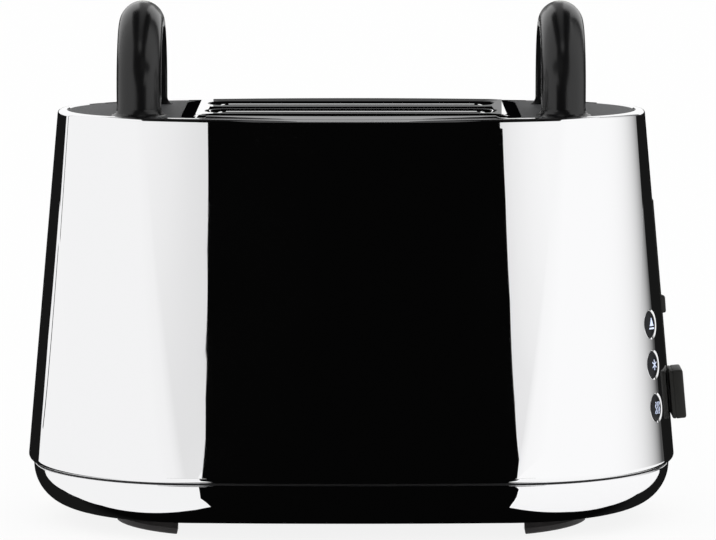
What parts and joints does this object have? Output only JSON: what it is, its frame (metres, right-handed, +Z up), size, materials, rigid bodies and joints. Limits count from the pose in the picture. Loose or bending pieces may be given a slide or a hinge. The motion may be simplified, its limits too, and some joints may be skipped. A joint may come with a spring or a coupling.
{
  "type": "toaster",
  "caption": "Two-slot toaster: polished tapered oval shell on a rounded base, a carrying loop at each end, lever, push buttons and browning slider on one end.",
  "frame": {"origin": "on the standing surface, under the middle of the whole toaster's box", "axes": "+X along the toaster towards the lever end, +Y towards the rear, +Z up"},
  "size_m": [0.3314, 0.1792, 0.2605],
  "materials": {
    "chrome_shell": "polished mirror chrome",
    "chrome_base": "polished mirror chrome",
    "chrome_plate": "polished mirror chrome",
    "tray_chrome": "polished mirror chrome",
    "chrome_ring": "polished",
    "black_rubber": "matt",
    "foot_rubber": "matt",
    "textured_plastic": "fine moulded texture",
    "satin_black_plastic": "satin",
    "knob_plastic": "satin",
    "button_black": "gloss with lit symbols",
    "zinc_steel": "zinc plated",
    "bright_aluminium": "bright rolled",
    "screw_steel": "zinc plated",
    "mica": "mica board",
    "heater_alloy": "oxidised resistance ribbon",
    "plated_wire": "bright plated wire",
    "ground_steel": "ground",
    "spring_steel": "drawn wire",
    "bush_brass": "turned",
    "magnet_core": "laminated core and winding",
    "housing_plastic": "moulded",
    "component_black": "moulded",
    "circuit_board": "green solder mask"
  },
  "bodies": {
    "toaster_body": {"body_shell": "chrome_shell", "base_shell": "chrome_base", "seam_gasket": "black_rubber", "slot_plate": "chrome_plate", "top_cap_left": "textured_plastic", "top_cap_right": "textured_plastic", "handle_left": "satin_black_plastic", "handle_right": "satin_black_plastic", "handle_screws": "screw_steel", "top_deck": "zinc_steel", "base_plate": "zinc_steel", "base_screws": "screw_steel", "foot_front_left": "foot_rubber", "foot_front_right": "foot_rubber", "foot_rear_left": "foot_rubber", "foot_rear_right": "foot_rubber", "chassis_left": "zinc_steel", "chassis_right": "zinc_steel", "chassis_screws": "screw_steel", "reflector_front": "bright_aluminium", "reflector_rear": "bright_aluminium", "mica_front": "mica", "mica_centre": "mica", "mica_rear": "mica", "ribbon_front": "heater_alloy", "ribbon_centre": "heater_alloy", "ribbon_rear": "heater_alloy", "guard_front_outer": "plated_wire", "guard_front_inner": "plated_wire", "guard_rear_inner": "plated_wire", "guard_rear_outer": "plated_wire", "guide_rod": "ground_steel", "latch_magnet": "magnet_core", "lever_trim": "knob_plastic", "button_housing": "housing_plastic", "ring_eject": "chrome_ring", "ring_defrost": "chrome_ring", "ring_reheat": "chrome_ring", "button_board": "circuit_board", "button_switches": "component_black", "slide_pot": "housing_plastic", "control_board": "circuit_board", "board_standoffs": "housing_plastic", "board_components": "component_black", "terminal_block": "housing_plastic", "cord_gland": "black_rubber", "tray_rails": "zinc_steel", "lift_spring": "spring_steel"},
    "carriage": {"bread_rack_front": "plated_wire", "bread_rack_rear": "plated_wire", "carriage_bracket": "zinc_steel", "carriage_bush": "bush_brass", "latch_armature": "zinc_steel", "lever_stem": "zinc_steel", "lever_knob": "knob_plastic"},
    "browning_control": {"browning_slider": "knob_plastic"},
    "eject_key": {"button_eject": "button_black"},
    "defrost_key": {"button_defrost": "button_black"},
    "reheat_key": {"button_reheat": "button_black"},
    "tray": {"crumb_tray": "tray_chrome"}
  },
  "joints": [
    {"name": "carriage_lift", "type": "slide", "parent": "toaster_body", "child": "carriage", "axis": [0, 0, 1], "range_m": [0, 0.09], "deforming": ["lift_spring"]},
    {"name": "browning_slide", "type": "slide", "parent": "toaster_body", "child": "browning_control", "axis": [-0.0795, -0.063, 0.9948], "range_m": [-0.012, 0.018]},
    {"name": "eject_press", "type": "slide", "parent": "toaster_body", "child": "eject_key", "axis": [-0.8921, 0.4408, -0.0993], "range_m": [0, 0.0015], "stiffness_N_per_m": 400, "springref_m": -0.001},
    {"name": "defrost_press", "type": "slide", "parent": "toaster_body", "child": "defrost_key", "axis": [-0.8925, 0.4399, -0.0994], "range_m": [0, 0.0015], "stiffness_N_per_m": 400, "springref_m": -0.001},
    {"name": "reheat_press", "type": "slide", "parent": "toaster_body", "child": "reheat_key", "axis": [-0.8932, 0.4386, -0.0994], "range_m": [0, 0.0015], "stiffness_N_per_m": 400, "springref_m": -0.001},
    {"name": "tray_slide", "type": "slide", "parent": "toaster_body", "child": "tray", "axis": [0, 1, 0], "range_m": [0, 0.09]}
  ]
}
